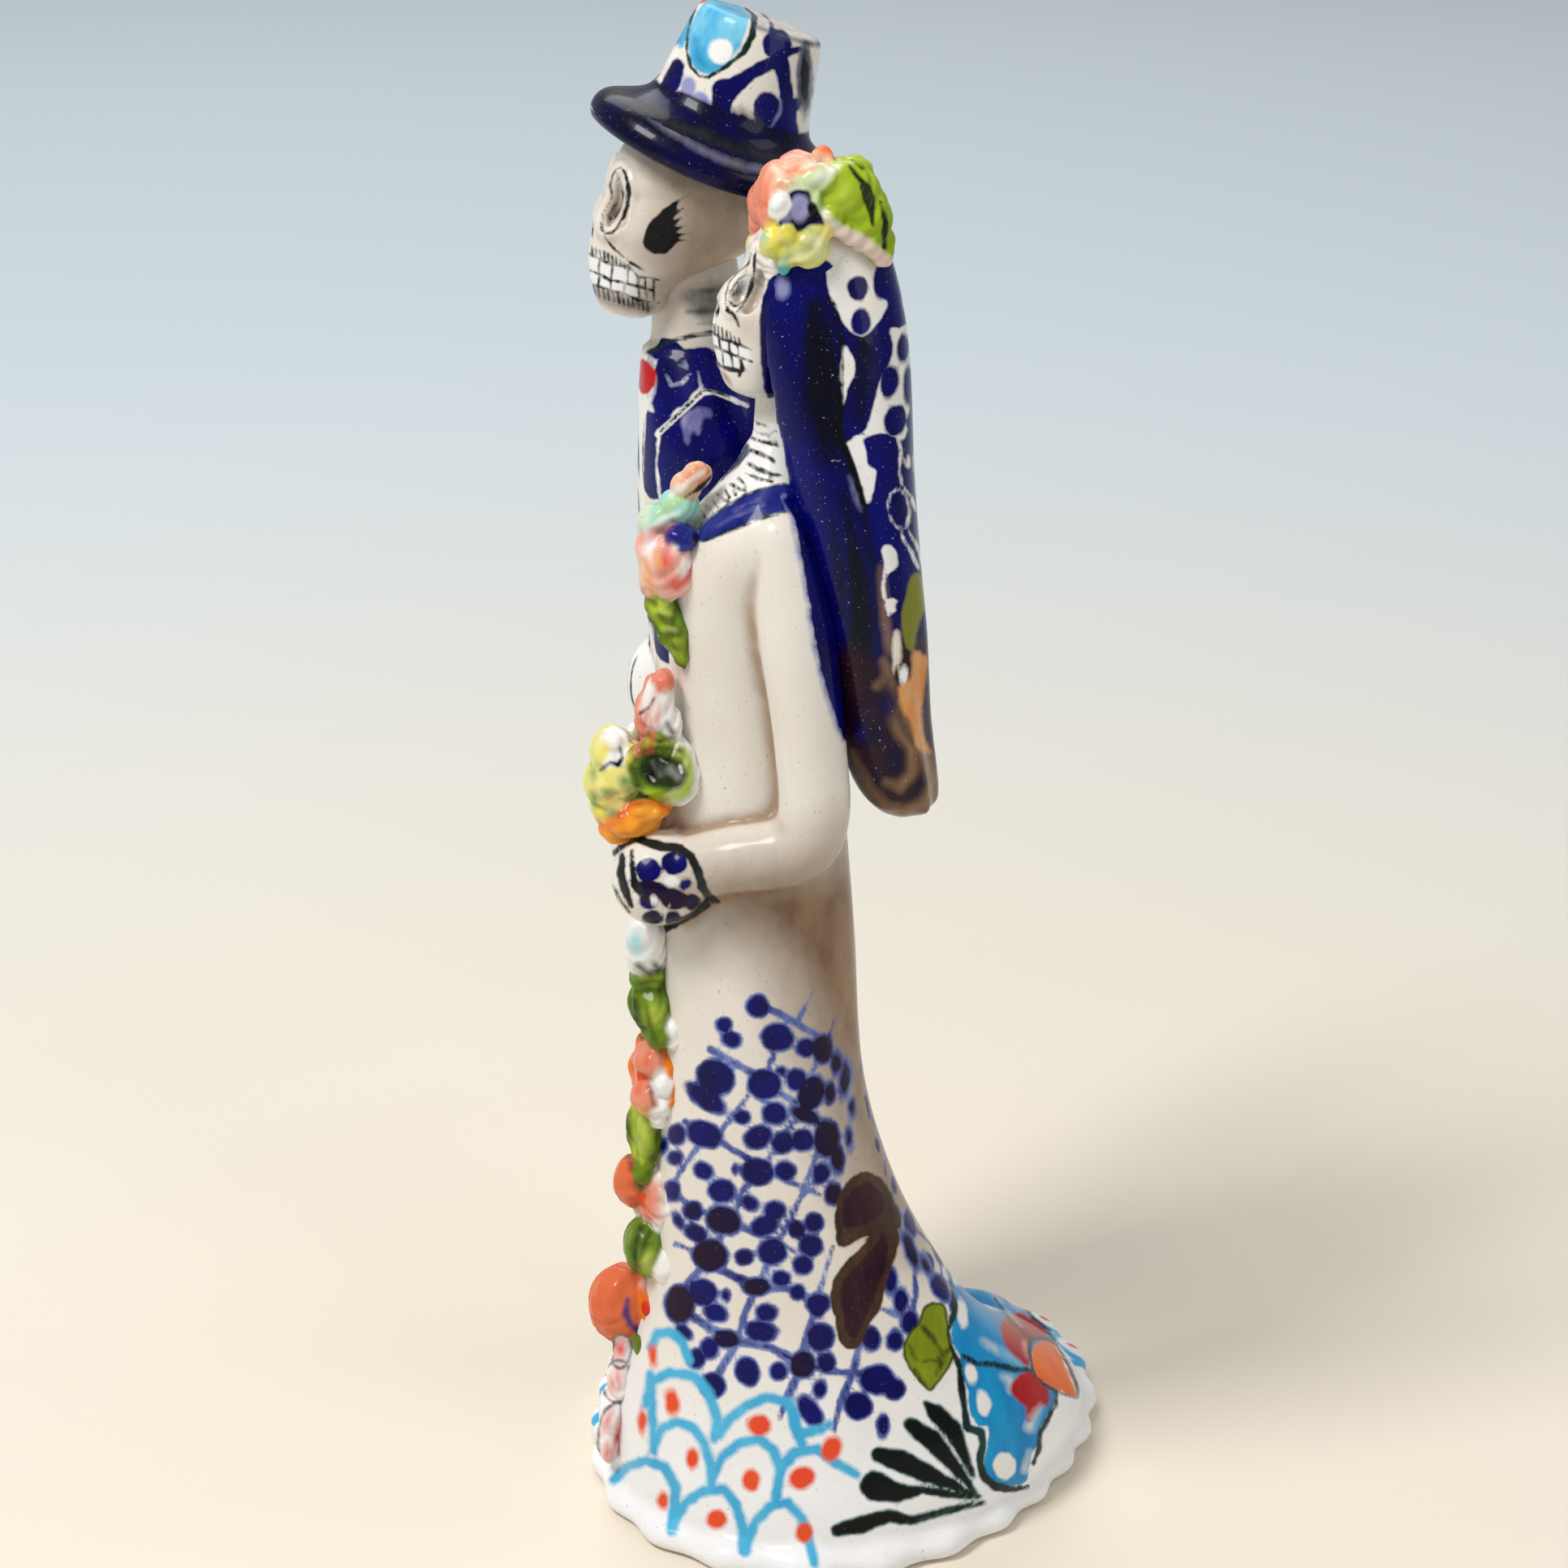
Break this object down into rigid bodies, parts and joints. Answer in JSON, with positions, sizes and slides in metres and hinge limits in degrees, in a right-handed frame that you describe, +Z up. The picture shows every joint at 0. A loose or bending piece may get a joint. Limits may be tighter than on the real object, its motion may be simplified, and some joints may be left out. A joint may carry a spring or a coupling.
{
  "type": "day of the dead couple figurine",
  "caption": "Standing skeleton bride and groom in hand-painted glazed ceramic, made as one piece on a flared scalloped hem.",
  "frame": {"origin": "middle of the flat underside of the hem", "axes": "+Z up, the couple faces -Y, the bride is on the +X side"},
  "size_m": [0.1191, 0.1114, 0.2983],
  "materials": {
    "glaze": "glossy tin glaze, hand painted in cobalt, turquoise, green, orange and black"
  },
  "bodies": {
    "root": {"glazed_couple": "glaze"}
  },
  "joints": []
}
